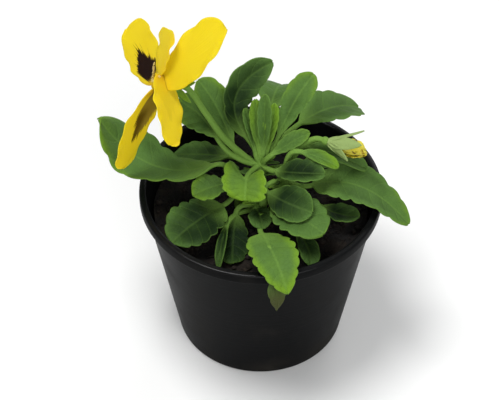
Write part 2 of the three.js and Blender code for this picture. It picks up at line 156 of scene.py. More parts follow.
# tint runs from 0, an old leaf in the shade, to 1, a young bright one, and on to 1.5, a pale sepal;
# it is also painted shade: a leaf that lies in shade is given a lower tint
LEAVES = {
    "main_stem": [
        leaf(79, (-4.5, 6, 87), (-9.4, 14, 101), (4, 24, 109), 6.4, roll=35, fold=0.3, belly=0.85, tint=0.08),
        leaf(79, (-10, 3, 86), (-16, 11, 98), (-23, 17, 106), 5.8, roll=-20, fold=0.3, belly=1, tint=0.4),
        leaf(78, (-16, 4, 90), (-22, 9, 96), (-30, 13, 100), 7, roll=-30, tint=0.35),
        leaf(79, (-2, 3, 83), (-4, 8, 91), (-6, 12, 97), 2.5, fold=0.4, belly=0.9, tint=0.25),
        leaf(79, (-0.5, 3, 83), (-1.8, 8, 93), (-2.1, 12.5, 101), 2.7, fold=0.4, belly=0.9, tint=0.5),
        leaf(79, (0.8, 3, 83), (1.2, 8, 94), (1.3, 13, 103), 2.8, fold=0.5, belly=0.8, tint=0.25),
        leaf(79, (2, 3.5, 83), (3.6, 8, 92), (4.8, 12, 99.5), 2.5, roll=20, fold=0.5, belly=0.9, tint=0.55),
        leaf(79, (6, 6.5, 87), (11.8, 14, 98), (19, 22, 105), 5.2, roll=20, fold=0.25, belly=1, tint=0.4),
        leaf(79, (4, 1, 84.5), (10.5, 3.5, 88), (17.5, 6, 91), 3.2, roll=30, fold=0.45, tint=0.36),
        leaf(79, (5, -3, 80), (13, -6.5, 82.5), (23, -8, 83.5), 5.2, roll=15, fold=0.4, tint=0.1),
        leaf(79, (-5.2, -9.3, 81.8), (-5.4, -12.8, 81.6), (-5.7, -16.6, 78.4), 8.5, fold=0.35, belly=0.45,
            end=0.3, skew=0.3, ears=2.6, tint=0.65),
    ],
    "left_stem": [
        leaf(75, (-17, -2, 82), (-40, 3, 77), (-59, 10, 93), 11.5, belly=0.8, end=0.42, fold=0.1, wave=0.16,
            teeth=6, tint=0.42),
        leaf(70, (-14, -10, 69), (-24, -18, 68), (-32, -25, 65), 10.6, belly=0.45, fold=0.1, teeth=6,
            tint=0.07),
        leaf(72, (-12, -5.5, 76), (-17.5, -8, 76.6), (-24.5, -11.3, 75.5), 6.4, fold=0.2, tint=0.4),
    ],
    "right_stem": [
        leaf(75, (19, -4, 74), (37, -6, 75), (54, -14, 64), 9.8, belly=0.4, fold=0.12, teeth=7, tint=0.38),
        leaf(76, (2.5, -10, 76), (10, -15.5, 76), (18.5, -19.5, 75.5), 7, roll=25, fold=0.1, curl=0.25,
            tooth_depth=0.06, tint=0.04),
        leaf(73, (5, -12, 72), (14, -19.7, 73.2), (22.5, -27.3, 72.6), 10, belly=0.55, fold=0.1, tint=0.24),
        leaf(70, (22, -8, 67), (29, -10, 65), (36, -12, 66), 5, teeth=3, tint=0.1),
        leaf(76, (16, 4, 86), (27, 4, 82), (39, 2, 76), 4, roll=20, fold=0.5, teeth=3, tint=0.25),
        leaf(76, (14, -0.5, 87.5), (21, -2.5, 86.5), (28, -4.5, 83.5), 2.8, roll=20, fold=0.4, teeth=3,
            tint=0.5),
    ],
    "front_stem": [
        leaf(67, (0.5, -24, 68.5), (5.5, -41, 73.5), (9.5, -51, 67), 8.7, belly=0.44, end=0.72, fold=0.12,
            ears=0.15, teeth=7, tint=0.61),
        leaf(66, (-9, -12, 67), (-10, -21, 62), (-10, -31, 61), 6, belly=0.6, fold=0, curl=-0.15, tint=0),
        leaf(66, (4.5, -42, 71), (5.8, -48.5, 66), (5.8, -49, 56), 3.4, root=(3, -33.2, 72.2), belly=1.4,
            end=1.3, teeth=3, tint=0.3, withered=1),
        leaf(66, (13, -18, 64), (17, -26, 64), (18, -33, 62), 4, teeth=3, tint=0.05),
        leaf(68, (-2, -11, 69), (-0.5, -15, 69.5), (1, -20, 67.5), 4.5, teeth=3, tint=0.15),
        leaf(66, (-12, -17, 67), (-13.8, -25.5, 66), (-15, -34, 61.5), 1.9, fold=0.4, teeth=3, tint=0.05),
    ],
    "back_stem": [
        leaf(75, (-10, 20, 83), (-20, 30, 84), (-28, 38, 78), 9, fold=0.15, tint=0.35),
        leaf(75, (3, 24, 84), (6, 38, 84), (9, 50, 74), 9, fold=0.15, tint=0.4),
        leaf(75, (14, 18, 84), (26, 27, 84), (37, 35, 77), 9.5, fold=0.15, tint=0.35),
        leaf(68, (16, 12, 70), (26, 15, 69), (36, 18, 66), 6.5, fold=0.15, tint=0.2),
        leaf(68, (-12, 15, 70), (-22, 18, 68), (-33, 20, 66), 6.5, fold=0.15, tint=0.2),
    ],
}

# Each head's place, which is the flower's throat or the bud's foot, and the way it faces, in degrees round Z
# from +X and in degrees above level. calyx is how far behind the place its stalk ends.
FLOWER = {"place": (-36.7, 2, 116.8), "azimuth": 198, "elevation": 20, "calyx": 7.2}
BUD = {"place": (23.2, 3, 89.6), "azimuth": -12, "elevation": -10, "calyx": 0}

# Each head's stalk: its way up from the stem, its straight neck, its radii at both ends, and its calyx's
FLOWER_STALK = {
    "route": [(-2, 2, 78), (-13, 2, 91), (-20, 2, 104)], "neck": 4, "steps": 10, "sides": 16,
    "radii": (1.25, 1.0), "calyx_radius": 1.7, "tint": 0.45,
}
BUD_STALK = {
    "route": [(9, 0, 75), (13, 3, 84), (17.2, 3.8, 88.6)], "neck": 3, "steps": 8, "sides": 14,
    "radii": (1.2, 1.0), "calyx_radius": 1.6, "tint": 0.5,
}

# The flower's throat, spur and tuft of hairs
THROAT_RADIUS = 2
SPUR_RADIUS = 1.35
SPUR_LENGTH = 5
HAIR_SEED = 5
HAIRS_A_SIDE = 80
HAIR_LENGTHS = (1.0, 1.7)
HAIR_RADII = (0.1, 0.04)

# The bud, its core as shares of radius and length, and its furled petals: how far each one reaches
# along it, and how far they twist round it, in radians at the base, the middle and the tip
BUD_LENGTH = 13.5
BUD_RADIUS = 3
BUD_CLEARANCE = 2.3
BUD_CORE = [(0, 0), (0.3, 0.02), (0.5, 0.12), (0.7, 0.3), (0.72, 0.5), (0.6, 0.7), (0.35, 0.84), (0, 0.9)]
BUD_CORE_SIDES = 32
BUD_PETAL_REACHES = (0.95, 1, 0.86, 0.97, 0.9)
BUD_PETAL_TWIST = (0.5, 0.8, 1.3)
BUD_PETAL_SHAPE = {
    "half": 2.7, "fold": 0.1, "curl": 0.42, "belly": 0.9, "end": 0.35, "teeth": 4, "tooth_depth": 0.25,
    "wave": 0.1, "ruffle": 0.25, "stalk_rows": 0, "stalk_half": 0.8, "stalk_depth": 0.5, "rows": 44,
    "columns": 25, "quilt": 0, "groove": 0, "rib": 0,
}


def petal(angle, lean, length, half, roll, forward, bow, blotch, **shape):
    """A petal's row: its angle from the top, lean forward, size, turn, place, bow forward and dark blotch.

    Among the rest, show is how far the blotch shows on the back, and drift how far it lies to one side.
    """
    return {
        "angle": angle, "lean": lean, "length": length, "half": half, "roll": roll,
        "forward": forward, "bow": bow, "blotch": blotch, **shape,
    }


PETALS = {
    "far_upper": petal(-28, -5, 19, 9, -5, 0, 0, 0, belly=1.05, end=0.22, skew=0.23),
    "near_upper": petal(12, -24, 34, 9, 12, 0, -3, 0, belly=0.75, end=0.6, skew=0.27),
    "far_side": petal(-85, 6, 29, 8.6, 14, 0.5, -0.2, 0.5, belly=0.55, end=0.31, drift=-1.8),
    "near_side": petal(
        112, 0, 27.5, 8.5, 57, 0.5, -1.3, 0.5, belly=0.35, end=0.44, skew=0.13, rise=5.5, stalk_half=3.5),
    "lip": petal(173, 6, 35, 8.5, 56, 0, 1.5, 0.54, belly=0.45, end=0.46, show=0.95, drift=1),
}

# A petal's shape, where its row says nothing else
PETAL_SHAPE = {
    "fold": 0, "belly": 0.75, "end": 0.42, "teeth": 3, "tooth_depth": 0.05, "stalk_rows": 0,
    "stalk_half": 1.8, "stalk_depth": 0.9, "wave": 0.05, "ruffle": 0.35, "quilt": 0, "groove": 0, "rib": 0,
    "rows": 72, "columns": 49,
}

# The studio, in metres, and each lamp's place, width and power in watts
FLOOR_REACH = 1.6
FLOOR_DROP = 0.0002
STUDIO_COLOUR = (0.95, 0.97, 1.0, 1)
STUDIO_STRENGTH = 0.3
LAMP_AIM = (0, 0, 0.08)
LAMPS = {
    "key": ((-0.2, 0, 0.9), 0.4, 6),
    "back": ((0.35, 0.75, 0.55), 0.6, 2.5),
    "fill": ((0.25, -0.75, 0.5), 0.8, 4.6),
}
SENSOR_WIDTH = 36


# Settings that a user would change

def colour(name, description, value):
    return FloatVectorProperty(
        name=name, description=description, default=value, subtype="COLOR", size=3, min=0, max=1)


class PotSettings(bpy.types.PropertyGroup):
    """The nursery pot"""
    plastic: colour("Plastic", "Colour of the moulded plastic", (0.0036, 0.0038, 0.004))
    dust: colour("Dust", "Colour of the dried peat that clings to the pot", (0.03, 0.027, 0.023))
    roughness: FloatProperty(
        name="Roughness", description="Roughness of clean plastic", default=0.36, min=0, max=1,
        subtype="FACTOR")


class PeatSettings(bpy.types.PropertyGroup):
    """The potting soil"""
    # The moist peat colour is darker than moist peat itself, as painted shade for the peat deep in the pot
    dark: colour("Moist peat", "Colour of the moist peat", (0.004, 0.0034, 0.003))
    light: colour("Dry crumbs", "Colour of the drier crumbs and fibres", (0.024, 0.017, 0.012))
    level: FloatProperty(
        name="Level", description="Height of the peat's surface over the pot's underside",
        default=SOIL_TOP * MM, unit="LENGTH")
    crumbs: IntProperty(
        name="Crumbs", description="Number of loose crumbs on the surface", default=700, min=0)
    fibres: IntProperty(
        name="Fibres", description="Number of loose fibres on the surface", default=150, min=0)


class LeafSettings(bpy.types.PropertyGroup):
    """Leaves and stems"""
    # The old leaf green is also painted shade, given to the leaves that lie in shade
    dark: colour("Old leaf", "Colour of the old leaves in the shade", (0.007, 0.019, 0.005))
    middle: colour("Grown leaf", "Colour of a grown leaf", (0.076, 0.155, 0.032))
    bright: colour("Young leaf", "Colour of the young leaves", (0.14, 0.265, 0.018))
    stalk: colour("Stalk", "Colour of stems, stalks and midribs", (0.155, 0.285, 0.05))
    pale: colour("Pale", "Colour of the sepals round the bud", (0.27, 0.36, 0.13))
    withered: colour("Withered", "Colour of the withered tip", (0.055, 0.064, 0.02))
    thickness: FloatProperty(
        name="Thickness", description="Thickness of a leaf's blade", default=0.5 * MM, unit="LENGTH")


class FlowerSettings(bpy.types.PropertyGroup):
    """Petals and bud"""
    yellow: colour("Yellow", "Colour of the petals", (0.70, 0.47, 0.014))
    deep: colour("Deep yellow", "Colour of the petals' shaded and inner parts", (0.62, 0.385, 0.010))
    blotch: colour("Blotch", "Colour of the dark blotches", (0.006, 0.002, 0.0012))
    show_through: colour("Show-through", "Colour of a blotch seen from the back", (0.135, 0.095, 0.018))
    young: colour("Young petals", "Colour of the bud's petals", (0.66, 0.58, 0.085))
    dry: colour("Dry", "Colour of the dry spots on the bud's petals", (0.075, 0.036, 0.012))
    hair: colour("Hairs", "Colour of the hairs beside the throat", (0.85, 0.80, 0.50))
    thickness: FloatProperty(
        name="Thickness", description="Thickness of a petal", default=0.35 * MM, unit="LENGTH")


class StageSettings(bpy.types.PropertyGroup):
    """Floor, light and camera"""
    floor: colour("Floor", "Colour of the floor", (0.86, 0.86, 0.85))
    camera: FloatVectorProperty(
        name="Camera", description="Where the camera stands", default=(0, -0.43793, 0.50343),
        unit="LENGTH")
    aim: FloatVectorProperty(
        name="Aim", description="The point that the camera looks at", default=(-0.004, 0, 0.062),
        unit="LENGTH")
    lens: FloatProperty(
        name="Lens", description="Focal length in millimetres", default=120.16, unit="CAMERA")


# Shader maths

class Wire:
    """A node's output, which can stand in a sum or product with numbers and other wires."""

    def __init__(self, paint, socket):
        self.paint = paint
        self.socket = socket

    def math(self, operation, *values):
        return self.paint.node("Math", {"operation": operation}, dict(enumerate(values)))

    def __add__(self, other):
        return self.math("ADD", self, other)

    def __radd__(self, other):
        return self.math("ADD", other, self)

    def __sub__(self, other):
        return self.math("SUBTRACT", self, other)

    def __rsub__(self, other):
        return self.math("SUBTRACT", other, self)

    def __mul__(self, other):
        return self.math("MULTIPLY", self, other)

    def __rmul__(self, other):
        return self.math("MULTIPLY", other, self)

    def __truediv__(self, other):
        return self.math("DIVIDE", self, other)

    def __rtruediv__(self, other):
        return self.math("DIVIDE", other, self)

    def __abs__(self):
        return self.math("ABSOLUTE", self)

    def fraction(self):
        return self.math("FRACT", self)

    def clamp(self):
        return self.math("MINIMUM", self.math("MAXIMUM", self, 0.0), 1.0)

    def step(self, low, high):
        """0 below low, 1 above high and a smooth rise between; high may be the lower of the two."""
        return self.paint.node("MapRange", {"interpolation_type": "SMOOTHSTEP"}, {
            "Value": self, "From Min": low, "From Max": high})


class Paint:
    """A material whose nodes come from its node method; fixed values sit on the shader's own sockets."""

    def __init__(self, name, **fixed):
        self.material = bpy.data.materials.new(name)
        self.material.use_nodes = True
        self.tree = self.material.node_tree
        self.shader = self.tree.nodes["Principled BSDF"]
        for socket, value in fixed.items():
            self.feed(self.shader.inputs[socket.replace("_", " ")], value)

    def feed(self, socket, value):
        if isinstance(value, Wire):
            self.tree.links.new(value.socket, socket)
        elif socket.type == "RGBA":
            socket.default_value = (*tuple(value)[:3], 1)
        else:
            socket.default_value = value

    def node(self, kind, settings=None, sockets=None, output=0):
        """Makes any node: its settings are set first, then the values or links of its sockets."""
        made = self.tree.nodes.new("ShaderNode" + kind)
        for name, value in (settings or {}).items():
            setattr(made, name, value)
        for name, value in (sockets or {}).items():
            self.feed(made.inputs[name], value)
        return Wire(self, made.outputs[output])

    def marks(self, *names):
        return [self.node("Attribute", {"attribute_name": name}, output="Fac") for name in names]

    def place(self, scale=(1, 1, 1)):
        """The point on the object, in metres times the scale."""
        point = self.node("TexCoord", output="Object")
        return self.node("VectorMath", {"operation": "MULTIPLY"}, {0: point, 1: scale})

    def noise(self, place, scale, detail=3.0, roughness=0.5):
        return self.node("TexNoise", {}, {
            "Vector": place, "Scale": scale, "Detail": detail, "Roughness": roughness}, "Fac")

    def mix(self, factor, a, b):
        return self.node("Mix", {"data_type": "RGBA"}, {0: factor, 6: a, 7: b}, 2)

    def bump(self, height, distance, strength):
        return self.node("Bump", {}, {
            "Height": height, "Distance": distance, "Strength": strength}, "Normal")

    def finish(self, **wires):
        for socket, wire in wires.items():
            self.feed(self.shader.inputs[socket.replace("_", " ")], wire)
        return self.material


# Mesh making

def unit(vectors):
    return vectors / np.linalg.norm(vectors, axis=-1, keepdims=True)


def bend(a, b, c, t):
    """The points at shares t of the curve from a to c that b pulls towards itself."""
    t = t[:, None]
    return (1 - t) ** 2 * a + 2 * t * (1 - t) * b + t ** 2 * c


def bend_direction(a, b, c, t):
    t = t[:, None]
    return unit((1 - t) * (b - a) + t * (c - b))


def outline(s, belly, end):
    """1 at the widest place of a blade, 0 at both ends."""
    widest = belly / (belly + end)
    return (s / widest) ** belly * ((1 - s) / (1 - widest)) ** end


class Body:
    """Gathers closed grids, tubes and lumps in millimetres, with the marks that colour them, into one mesh.

    along runs from -1 to 0 on a stalk and from 0 to 1 on its blade, across and edge are millimetres from
    the midline and from the margin, vein counts the side veins, and front is 1 on the upper face.
    On leaves tint is their age and also painted shade, lower where a leaf lies in shade, and special how
    withered they are. On petals special is how far the blotch reaches, drift its place across, and tint how
    far it shows through, or 2 on the bud.
    """

    MARKS = ("along", "across", "edge", "vein", "front", "tint", "special", "drift")

    def __init__(self):
        self.points = []
        self.faces = []
        self.marks = {name: [] for name in self.MARKS}
        self.count = 0

    def add(self, points, faces, **marks):
        points = np.asarray(points, float).reshape(-1, 3)
        self.points.append(points)
        for face in faces:
            self.faces.append([self.count + k for k in face])
        for name in self.MARKS:
            value = np.asarray(marks.get(name, 0.0), float).reshape(-1)
            self.marks[name].append(np.broadcast_to(value, (len(points),)))
        self.count += len(points)

    def build(self, name, material, slot, *nodes):
        mesh = bpy.data.meshes.new(name)
        mesh.from_pydata((np.concatenate(self.points) * MM).tolist(), [], self.faces)
        for mark, values in self.marks.items():
            values = np.concatenate(values)
            if values.any():
                layer = mesh.attributes.new(mark, "FLOAT", "POINT")
                layer.data.foreach_set("value", values.astype(np.float32))
        mesh.shade_smooth()
        mesh.materials.append(material)
        piece = bpy.data.objects.new(name, mesh)
        bpy.context.scene.collection.objects.link(piece)
        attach(piece, BODY)
        if nodes:
            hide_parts(*nodes)
        return piece


def grid_faces(rows, columns, offset=0, flip=False, around=False):
    faces = []
    for i in range(rows - 1):
        for j in range(columns if around else columns - 1):
            k = (j + 1) % columns
            face = [i * columns + j, i * columns + k, (i + 1) * columns + k, (i + 1) * columns + j]
            faces.append([offset + n for n in (reversed(face) if flip else face)])
    return faces


def round_faces(rows, sides):
    """Faces over rings of points, closed at each end by a fan to one of the two points after the rings."""
    faces = grid_faces(rows, sides, around=True)
    last = (rows - 1) * sides
    end = rows * sides
    for j in range(sides):
        k = (j + 1) % sides
        faces.append([end, k, j])
        faces.append([end + 1, last + j, last + k])
    return faces


def add_sheet(body, grid, front_depth, back_depth, **marks):
    """A closed thin body over a grid of points, with its own depth on each face."""
    rows, columns = grid.shape[:2]
    normal = unit(np.cross(np.gradient(grid, axis=1), np.gradient(grid, axis=0)))
    points = np.concatenate([
        (grid + normal * front_depth[..., None]).reshape(-1, 3),
        (grid - normal * back_depth[..., None]).reshape(-1, 3),
    ])
    below = rows * columns
    faces = grid_faces(rows, columns) + grid_faces(rows, columns, below, flip=True)
    rim = list(range(columns))
    rim += [i * columns + columns - 1 for i in range(1, rows)]
    rim += [(rows - 1) * columns + j for j in range(columns - 2, -1, -1)]
    rim += [i * columns for i in range(rows - 2, 0, -1)]
    for p, q in zip(rim, rim[1:] + rim[:1]):
        faces.append([p, p + below, q + below, q])
    both = {
        name: np.tile(np.broadcast_to(value, (rows, columns)).reshape(-1), 2) for name, value in marks.items()
    }
    both["front"] = np.repeat([1.0, 0.0], below)
    body.add(points, faces, **both)


def add_blade(
    body, root, start, middle, tip, half, side, roll=0, fold=0.2, curl=0, belly=0.8, end=0.5, teeth=5,
    tooth_depth=TOOTH_DEPTH, wave=MARGIN_WAVE, stalk_half=STALK_HALF_WIDTH, stalk_rows=STALK_ROWS,
    rows=LEAF_ROWS, columns=LEAF_COLUMNS, stalk_depth=1.5, depth=0.5, quilt=0.11, groove=0.35, rib=0.35,
    ruffle=0, seed=0, skew=0, ears=0, **marks,
):
    """One leaf, petal or sepal: a stalk from root to start, then a blade through middle to its tip.

    belly and end shape the outline, fold, curl, roll, wave and ruffle lift it, and ears sweep its base back.
    quilt, groove and rib give the relief of its veins.
    """
    root, start, middle, tip, side = (np.array(p, float) for p in (root, start, middle, tip, side))
    pull = 2 * middle - (start + tip) / 2
    stalk_pull = start - unit(pull - start) * 0.5 * np.linalg.norm(start - root)
    stalk_s = np.linspace(-1, 0, stalk_rows, endpoint=False)
    x = np.linspace(0, 1, rows)
    blade_s = (0.45 * x + 0.55 * np.sin(x * math.pi / 2)) * TIP
    s = np.concatenate([stalk_s, blade_s])
    at = bend(start, pull, tip, blade_s)
    along = bend_direction(start, pull, tip, blade_s)
    if stalk_rows:
        at = np.concatenate([bend(root, stalk_pull, start, stalk_s + 1), at])
        along = np.concatenate([bend_direction(root, stalk_pull, start, stalk_s + 1), along])
    across = unit(side - along * (along @ side)[:, None])
    turn = (math.radians(roll) * np.minimum(1, 1 + s))[:, None]
    across = across * np.cos(turn) + np.cross(along, across) * np.sin(turn)
    up = np.cross(across, along)

    t = np.maximum(s, 0)[:, None]
    even = np.linspace(-1, 1, columns)[None, :]
    q = np.sin(even * math.pi / 2) * 0.5 + even * 0.5
    out = np.abs(q)
    sides = np.sign(q)
    wide = half * outline(t, belly * (1 - skew * sides), end * (1 + skew * sides))
    wide = np.maximum(wide, stalk_half * np.sqrt(1 - t))
    wide = np.where(t > 0, wide, stalk_half)
    rank = teeth * t / LAST_TOOTH
    scallop = tooth_depth * (1 - np.abs(np.sin(math.pi * rank)) ** 0.7)
    notch = np.where(t > 0, scallop * (1 + 0.4 * np.sin(1.9 * rank + 2.5 * sides + seed)), 0)
    lift = wide * (fold * out + curl * out ** 2) * np.minimum(1, t * 4)
    lift = lift + half * wave * np.sin(9 * t + 2 * q) * out ** 2 * np.minimum(1, t * 3)
    lift = lift + ruffle * np.sin(23 * t + 5 * q + seed) * out ** 4 * np.minimum(1, t * 3)
    bladed = np.minimum(1, t * 5)
    vein = rank - out ** 1.3
    lift = lift - quilt * np.cos(2 * math.pi * vein) * 4 * out * (1 - out) * bladed
    lift = lift - groove * np.exp(-(wide * q / 0.7) ** 2) * bladed * (1 - 0.6 * t)
    width = wide * q * (1 - notch * out ** 3)
    swept = ears * wide * out ** 1.5 * (1 - t) ** 4 * np.minimum(1, t * 20)
    grid = at[:, None] + across[:, None] * width[..., None] + up[:, None] * lift[..., None]
    grid = grid - along[:, None] * swept[..., None]

    thick = stalk_depth + (depth - stalk_depth) * np.minimum(1, t * 7)
    power = 2 + 10 * bladed
    shell = np.maximum(1 - out ** power, 0.0) ** (1 / power) * 0.9 + 0.1
    ribbed = rib * np.exp(-(wide * q / 0.6) ** 2) * bladed * (1 - 0.75 * t)
    add_sheet(
        body, grid, thick / 2 * shell, thick / 2 * shell + ribbed,
        along=s[:, None] + 0 * q, across=wide * q, edge=wide * (1 - out), vein=vein, **marks)


def spline(points, steps):
    """A smooth curve through the points: a centripetal Catmull-Rom curve."""
    points = np.array(points, float)
    points = np.vstack([2 * points[0] - points[1], points, 2 * points[-1] - points[-2]])
    made = []
    for a, b, c, d in zip(points, points[1:], points[2:], points[3:]):
        ab, bc, cd = (np.linalg.norm(u - v) ** 0.5 for u, v in ((a, b), (b, c), (c, d)))
        leave = ((b - a) / ab - (c - a) / (ab + bc) + (c - b) / bc) * bc
        arrive = ((c - b) / bc - (d - b) / (bc + cd) + (d - c) / cd) * bc
        t = np.linspace(0, 1, steps, endpoint=False)[:, None]
        made.append(
            (2 * t ** 3 - 3 * t ** 2 + 1) * b + (t ** 3 - 2 * t ** 2 + t) * leave
            + (3 * t ** 2 - 2 * t ** 3) * c + (t ** 3 - t ** 2) * arrive)
    return np.vstack([*made, points[-2][None]])


def add_tube(body, path, radii, sides=12, ridges=0.0, **marks):
    """A closed tube along a path, with a low cone on each end; ridges gives it five soft ribs."""
    path = np.asarray(path, float)
    radii = np.broadcast_to(np.asarray(radii, float), (len(path),))
    heading = unit(np.gradient(path, axis=0))
    rings = []
    normal = unit(np.cross(heading[0], (0.3, 1, 0.2)))
    angle = np.linspace(0, 2 * math.pi, sides, endpoint=False)[:, None]
    bulge = 1 + ridges * np.cos(5 * angle)
    for at, way, radius in zip(path, heading, radii):
        normal = unit(normal - way * (normal @ way))
        other = np.cross(way, normal)
        rings.append(at + radius * bulge * (normal * np.cos(angle) + other * np.sin(angle)))
    rings = np.array(rings)
    ends = np.array([path[0] - heading[0] * radii[0] * 0.5, path[-1] + heading[-1] * radii[-1] * 0.5])
    body.add(np.concatenate([rings.reshape(-1, 3), ends]), round_faces(len(path), sides), **marks)


def lathe(profile, sides):
    """Points and faces of a turned body, whose profile of (radius, height) starts and ends on the axis."""
    inner = np.array(profile[1:-1], float)
    angle = np.linspace(0, 2 * math.pi, sides, endpoint=False)
    ring = np.stack([np.cos(angle), np.sin(angle)], -1)
    rows = [np.column_stack([ring * r, np.full(sides, z)]) for r, z in inner]
    points = np.concatenate([*rows, [[0, 0, profile[0][1]], [0, 0, profile[-1][1]]]])
    return points, round_faces(len(rows), sides)


def add_ball(body, centre, radius, **marks):
    angles = np.linspace(-math.pi / 2, math.pi / 2, BALL_RINGS + 1)
    points, faces = lathe([(radius * math.cos(a), radius * math.sin(a)) for a in angles], BALL_SIDES)
    body.add(points + centre, faces, **marks)


def head_frame(azimuth, elevation):
    """The way a flower faces, its own top, and its side towards the viewer."""
    turn, rise = math.radians(azimuth), math.radians(elevation)
    facing = np.array([math.cos(turn) * math.cos(rise), math.sin(turn) * math.cos(rise), math.sin(rise)])
    top = np.array([-math.cos(turn) * math.sin(rise), -math.sin(turn) * math.sin(rise), math.cos(rise)])
    return facing, top, np.cross(top, facing)


# Pot

def inner_radius(z):
    """The radius of the wall's inside at a height over the pot's underside."""
    share = (z - FOOT_HEIGHT) / (POT_HEIGHT - COLLAR_HEIGHT - FOOT_HEIGHT)
    return BASE_RADIUS - WALL + (POT_RADIUS - COLLAR_STEP - BASE_RADIUS) * share


def rounded(profile, corner_steps=4):
    """The profile with each marked corner, (radius, height, rounding), turned into a short curve."""
    made = []
    for k, row in enumerate(profile):
        here = np.array(row[:2], float)
        if len(row) < 3:
            made.append(tuple(here))
            continue
        before = np.array(profile[k - 1][:2], float)
        after = np.array(profile[k + 1][:2], float)
        a = here + unit(before - here) * row[2]
        b = here + unit(after - here) * row[2]
        for t in np.linspace(0, 1, corner_steps + 1):
            made.append(tuple((1 - t) ** 2 * a + 2 * t * (1 - t) * here + t ** 2 * b))
    return made


def pot_paint(settings):
    """Black plastic with faint mould rings, dried peat low on the wall and a satin edge on the rim."""
    paint = Paint("pot_plastic", Specular_IOR_Level=0.025, Coat_Roughness=0.22)
    place = paint.place()
    z = paint.node("SeparateXYZ", {}, {0: place}, "Z")
    cloud = paint.noise(place, 55, 4)
    speck = paint.noise(place, 1400, 2).step(0.66, 0.74)
    grain = paint.noise(place, 2600, 2)
    rings = paint.noise(paint.place((4, 4, 900)), 1, 2)
    low = z.step(0.012, 0.0)
    smear = (cloud.step(0.52, 0.75) * 0.2 + low * cloud.step(0.3, 0.7) * 0.5 + speck * 0.3).clamp()
    return paint.finish(
        Base_Color=paint.mix(smear, settings.plastic, settings.dust),
        Roughness=(settings.roughness + 0.12 * cloud + 0.3 * smear).clamp(),
        Coat_Weight=z.step(SATIN_EDGE[0] * MM, SATIN_EDGE[1] * MM) * 0.22,
        Normal=paint.bump(grain * 0.4 + rings * 0.6, 0.00012, 0.5),
    )


def cut_away(context, piece, cutter):
    cut = piece.modifiers.new("cut", "BOOLEAN")
    cut.object = cutter
    cut.operation = "DIFFERENCE"
    cut.solver = "EXACT"
    context.view_layer.objects.active = piece
    with context.temp_override(object=piece, active_object=piece, selected_objects=[piece]):
        bpy.ops.object.modifier_apply(modifier=cut.name)
    piece.data.shade_smooth()


class PANSY_OT_pot(bpy.types.Operator):
    """Turns the nursery pot, with its collar, foot ring and drain holes"""
    bl_idname = "pansy.pot"
    bl_label = "Nursery pot"

    def execute(self, context):
        shoulder = POT_HEIGHT - COLLAR_HEIGHT
        floor_top = FOOT_HEIGHT + FLOOR
        lip = POT_RADIUS - COLLAR_STEP
        profile = rounded([
            (0, 0), (PAD_RADIUS, 0, 0.4), (PAD_RADIUS + 1, FOOT_HEIGHT, 0.4),
            (BASE_RADIUS - FOOT_WIDTH, FOOT_HEIGHT, 0.4), (BASE_RADIUS - FOOT_WIDTH + 0.5, 0, 0.3),
            (BASE_RADIUS, 0, 0.9), (BASE_RADIUS + 0.5, 3), (lip - 0.05, shoulder - 0.6, 0.5),
            (POT_RADIUS, shoulder, 0.6), (POT_RADIUS, POT_HEIGHT, 0.9), (lip - 0.6, POT_HEIGHT, 0.8),
            (inner_radius(shoulder), shoulder - 2, 1.2), (inner_radius(floor_top), floor_top, 1.0),
            (0, floor_top),
        ])
        points, faces = lathe(profile, POT_SIDES)
        body = Body()
        body.add(points, faces)
        piece = body.build("nursery_pot", pot_paint(context.scene.pansy_pot), "pot_plastic", "pot")
        cut = bmesh.new()
        for k in range(DRAIN_COUNT):
            angle = 2 * math.pi * (k + 0.5) / DRAIN_COUNT
            drill = bmesh.ops.create_cone(
                cut, segments=DRILL_SIDES, radius1=DRAIN_RADIUS * MM, radius2=DRAIN_RADIUS * MM,
                depth=3 * floor_top * MM, cap_ends=True)["verts"]
            spot = Vector((DRAIN_CIRCLE * math.cos(angle), DRAIN_CIRCLE * math.sin(angle), floor_top)) * MM
            bmesh.ops.translate(cut, verts=drill, vec=spot)
        drills = bpy.data.meshes.new("drills")
        cut.to_mesh(drills)
        cut.free()
        cutter = bpy.data.objects.new("drills", drills)
        context.scene.collection.objects.link(cutter)
        cut_away(context, piece, cutter)
        bpy.data.objects.remove(cutter)
        if len(piece.data.polygons) <= len(faces):
            raise RuntimeError("The drain holes weren't cut")
        return {"FINISHED"}


# Peat

def peat_height(x, y):
    """The peat's surface at a place, in millimetres over its level."""
    spot = Vector((x * MM, y * MM, PEAT_PLANE))
    height = 0
    for size, rise in (HUMMOCK, GRIT):
        height += rise * noise.noise(spot / size)
    for size, rise in (LUMP, CRUMB):
        height += rise * (0.5 - noise.voronoi(spot / size)[0][0])
    return height


def peat_paint(settings, name, lightness):
    """Moist peat, whose colour also carries painted shade, dried to a lighter brown in patches and flecks."""
    paint = Paint(name, Specular_IOR_Level=0.25)
    place = paint.place()
    patch = paint.noise(place, 160, 5, 0.6)
    fleck = paint.noise(place, 1300, 3, 0.7)
    dry = (patch.step(0.42, 0.7) * 0.6 + fleck.step(0.55, 0.75) * 0.5 + lightness).clamp()
    return paint.finish(
        Base_Color=paint.mix(dry, settings.dark, settings.light),
        Roughness=(0.8 + 0.2 * patch).clamp(),
        Normal=paint.bump(fleck + patch, 0.0005, 0.7),
    )


